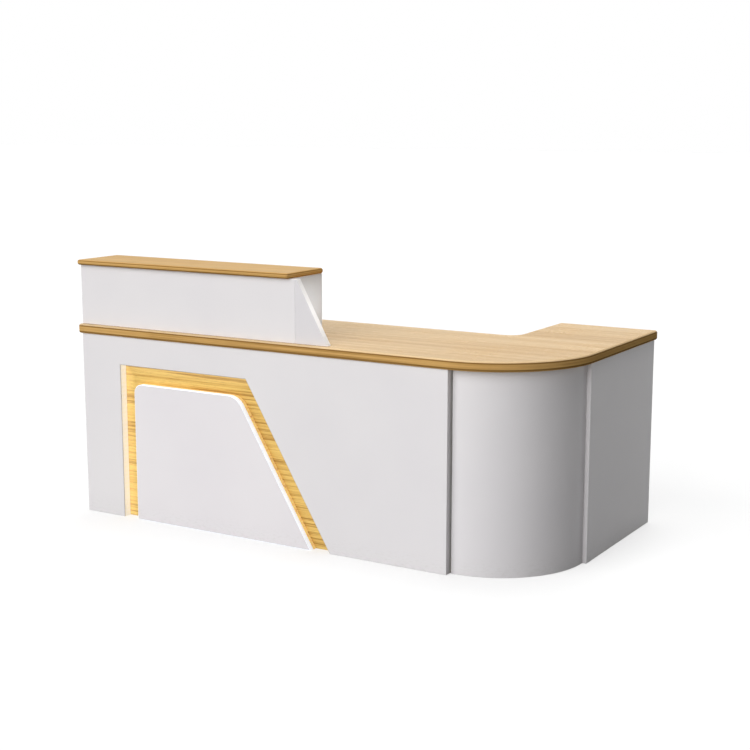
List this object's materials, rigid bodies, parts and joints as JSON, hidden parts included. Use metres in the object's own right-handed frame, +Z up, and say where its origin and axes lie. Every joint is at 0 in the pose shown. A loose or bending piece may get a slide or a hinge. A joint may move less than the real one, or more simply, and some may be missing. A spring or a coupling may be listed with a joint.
{
  "type": "reception desk",
  "caption": "L-shaped reception desk with a raised visitor counter, rounded front corner, lit wood inlay, staff drawers, keyboard tray and a cupboard in the return.",
  "frame": {"origin": "middle of the overall box, on the floor", "axes": "+X along the visitors' front towards the return, +Y from the visitors to the staff side, +Z up"},
  "size_m": [2, 1, 1],
  "materials": {
    "straw_oak": "satin straw-coloured oak decor on thick board",
    "golden_oak": "satin golden oak decor sheet",
    "plywood": "bare plywood",
    "white_lacquer": "high-gloss white lacquer on fibreboard",
    "white_melamine": "satin white melamine on chipboard",
    "grey_steel": "light grey powder coat on folded sheet steel",
    "satin_steel": "satin zinc or nickel",
    "warm_light": "frosted warm-white light strip",
    "black_housing": "black anodised"
  },
  "bodies": {
    "desk": {"worktop": "straw_oak", "worktop_bracket_1": "satin_steel", "worktop_bracket_2": "satin_steel", "front_panel": "white_lacquer", "front_spacer": "white_melamine", "front_backing_board": "white_melamine", "decor_wood_panel": "golden_oak", "decor_white_panel": "white_lacquer", "led_light_strip": "warm_light", "led_driver": "black_housing", "curved_corner_panel": "white_lacquer", "corner_former_bottom": "plywood", "corner_former_middle": "plywood", "corner_former_top": "plywood", "left_end_panel": "white_lacquer", "side_panel": "white_lacquer", "side_backing_board": "white_melamine", "return_end_panel": "white_lacquer", "knee_partition": "white_melamine", "cupboard_partition": "white_melamine", "raised_top": "straw_oak", "raised_front_board": "white_lacquer", "raised_wing": "white_lacquer", "raised_left_end": "white_lacquer", "raised_divider": "white_lacquer", "raised_right_end": "white_lacquer", "pedestal_base": "white_melamine", "pedestal_plinth": "white_melamine", "drawer_partition": "white_melamine", "bay_shelf": "white_melamine", "drawer_upper_rail_left": "satin_steel", "drawer_upper_rail_right": "satin_steel", "drawer_middle_rail_left": "satin_steel", "drawer_middle_rail_right": "satin_steel", "drawer_lower_rail_left": "satin_steel", "drawer_lower_rail_right": "satin_steel", "cupboard_base": "white_melamine", "cupboard_plinth": "white_melamine", "cupboard_shelf": "white_melamine", "hinge_upper_frame_leaf": "satin_steel", "hinge_lower_frame_leaf": "satin_steel", "keyboard_rail_left": "satin_steel", "keyboard_rail_right": "satin_steel"},
    "upper_drawer": {"drawer_upper_front": "white_lacquer", "drawer_upper_tray": "grey_steel", "drawer_upper_handle": "satin_steel"},
    "middle_drawer": {"drawer_middle_front": "white_lacquer", "drawer_middle_tray": "grey_steel", "drawer_middle_handle": "satin_steel"},
    "lower_drawer": {"drawer_lower_front": "white_lacquer", "drawer_lower_tray": "grey_steel", "drawer_lower_handle": "satin_steel"},
    "keyboard_shelf": {"keyboard_tray": "white_lacquer", "keyboard_runner_left": "satin_steel", "keyboard_runner_right": "satin_steel"},
    "door": {"cupboard_door": "white_lacquer", "cupboard_handle": "satin_steel", "hinge_upper_door_leaf": "satin_steel", "hinge_lower_door_leaf": "satin_steel"}
  },
  "joints": [
    {"name": "upper_drawer_slide", "type": "slide", "parent": "desk", "child": "upper_drawer", "axis": [0, 1, 0], "range_m": [0, 0.34]},
    {"name": "middle_drawer_slide", "type": "slide", "parent": "desk", "child": "middle_drawer", "axis": [0, 1, 0], "range_m": [0, 0.34]},
    {"name": "lower_drawer_slide", "type": "slide", "parent": "desk", "child": "lower_drawer", "axis": [0, 1, 0], "range_m": [0, 0.34]},
    {"name": "keyboard_slide", "type": "slide", "parent": "desk", "child": "keyboard_shelf", "axis": [0, 1, 0], "range_m": [0, 0.24]},
    {"name": "door_hinge", "type": "hinge", "parent": "desk", "child": "door", "pos_m": [0.6167, 0.4707, 0.396], "axis": [0, 0, -1], "range_deg": [0, 105]}
  ]
}
